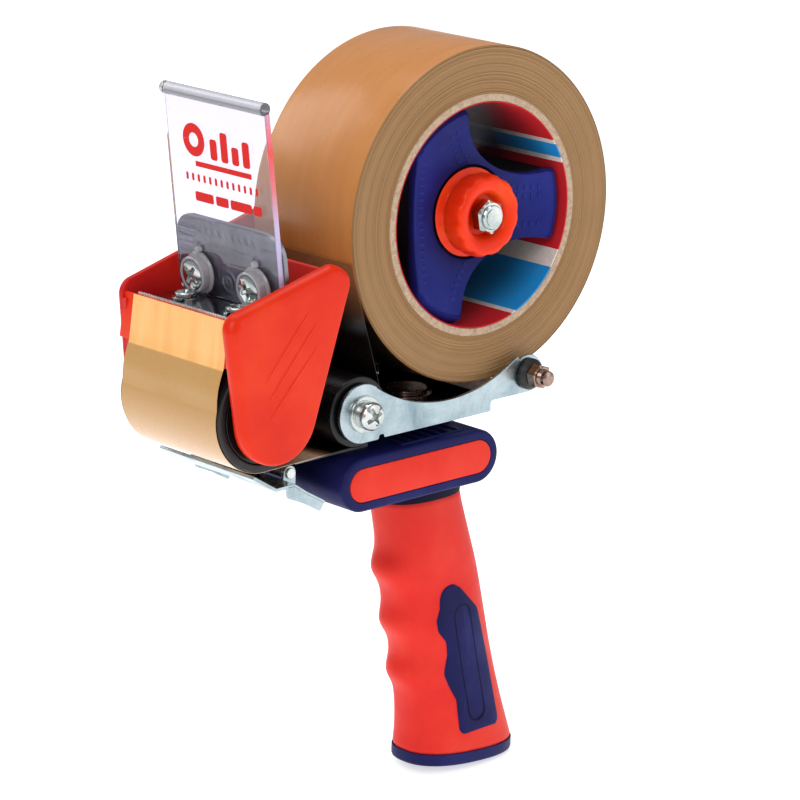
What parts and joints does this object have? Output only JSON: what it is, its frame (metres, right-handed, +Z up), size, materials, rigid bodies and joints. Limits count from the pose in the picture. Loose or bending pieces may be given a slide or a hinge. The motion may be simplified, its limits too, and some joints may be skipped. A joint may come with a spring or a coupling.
{
  "type": "tape gun dispenser",
  "caption": "Hand-held packing tape dispenser with a braked roll hub, guide rollers, a guarded toothed blade, a clear tape flap and a pistol grip.",
  "frame": {"origin": "axis of the tape roll, at the middle of the tape's width", "axes": "+X to the rear of the tool, away from the blade; +Z up, from the handle to the roll; -Y to the open side, where the brake knob is"},
  "size_m": [0.1716, 0.0755, 0.2574],
  "materials": {
    "zinc_steel": "bright zinc, faint blue passivation",
    "bracket_steel": "zinc plated",
    "blade_steel": "bright ground",
    "screw_steel": "bright nickel plated",
    "spring_steel": "drawn wire",
    "guard_orange": "satin moulded, slightly glossy",
    "knob_orange": "glossy moulded",
    "hub_blue": "fine grained moulded",
    "handle_blue": "fine grained moulded",
    "grip_orange": "soft touch",
    "clear_plastic": "clear polished sheet",
    "roller_plastic": "moulded",
    "black_rubber": "matt",
    "card": "wound board",
    "tape_brown": "smooth film, semi-gloss",
    "felt": "pressed felt"
  },
  "bodies": {
    "frame": {"side_frame": "zinc_steel", "front_bracket": "bracket_steel", "flap_clamp": "bracket_steel", "retainer_bracket": "bracket_steel", "blade": "blade_steel", "guard_screws": "screw_steel", "blade_screws": "screw_steel", "blade_washers": "screw_steel", "blade_nuts": "screw_steel", "flap_screws": "screw_steel", "flap_washers": "screw_steel", "flap_nuts": "screw_steel", "front_axle": "screw_steel", "guide_axle": "screw_steel", "guide_screws": "screw_steel", "guide_washers": "screw_steel", "lock_washers": "screw_steel", "spindle_bolt": "screw_steel", "spindle_tube": "screw_steel", "spindle_nut": "screw_steel", "spindle_washer": "screw_steel", "brake_washer": "screw_steel", "rear_bolt": "screw_steel", "rear_nut": "screw_steel", "bracket_screws": "screw_steel", "frame_screws": "screw_steel", "handle_bolt": "screw_steel", "handle_washer": "screw_steel", "handle_nut": "screw_steel", "base_screw": "screw_steel", "brake_spring": "spring_steel", "retainer_spring": "spring_steel", "guard": "guard_orange", "collar_body": "handle_blue", "neck_ring": "handle_blue", "near_insert": "handle_blue", "far_insert": "handle_blue", "base_cap": "handle_blue", "grip": "grip_orange", "collar_panels": "grip_orange", "flap": "clear_plastic", "rear_bumper": "black_rubber", "tape_web": "tape_brown", "friction_washer": "felt"},
    "guide_roller": {"guide_roller": "roller_plastic"},
    "front_roller": {"front_roller": "roller_plastic", "front_sleeve": "black_rubber"},
    "roll": {"hub": "hub_blue", "tape_core": "card", "tape_roll": "tape_brown"},
    "brake_slide": {"thrust_washer": "screw_steel"},
    "brake_knob": {"brake_knob": "knob_orange"},
    "retainer": {"retainer_plate": "zinc_steel", "retainer_pin": "screw_steel"}
  },
  "joints": [
    {"name": "roll_spin", "type": "hinge", "parent": "frame", "child": "roll", "pos_m": [0, 0, 0], "axis": [0, 1, 0], "continuous": true},
    {"name": "guide_spin", "type": "hinge", "parent": "frame", "child": "guide_roller", "pos_m": [-0.057, 0, -0.057], "axis": [0, 1, 0], "continuous": true},
    {"name": "front_spin", "type": "hinge", "parent": "frame", "child": "front_roller", "pos_m": [-0.0953, 0, -0.0512], "axis": [0, 1, 0], "continuous": true},
    {"name": "brake_slide", "type": "slide", "parent": "frame", "child": "brake_slide", "axis": [0, 1, 0], "range_m": [-0.0005, 0.001], "deforming": ["brake_spring"]},
    {"name": "brake_turn", "type": "hinge", "parent": "brake_slide", "child": "brake_knob", "pos_m": [0, 0, 0], "axis": [0, 1, 0], "range_deg": [-180, 360]},
    {"name": "retainer_swing", "type": "hinge", "parent": "frame", "child": "retainer", "pos_m": [-0.0795, 0, -0.0752], "axis": [0, 1, 0], "range_deg": [-12, 0], "stiffness_Nm_per_rad": 0.15, "springref_deg": 9.74}
  ],
  "couplings": [
    {"joint": "guide_spin", "follows": "roll_spin", "ratio": -4.656},
    {"joint": "front_spin", "follows": "roll_spin", "ratio": -3.003},
    {"joint": "brake_slide", "follows": "brake_turn", "m_per_rad": 0.00015915}
  ]
}
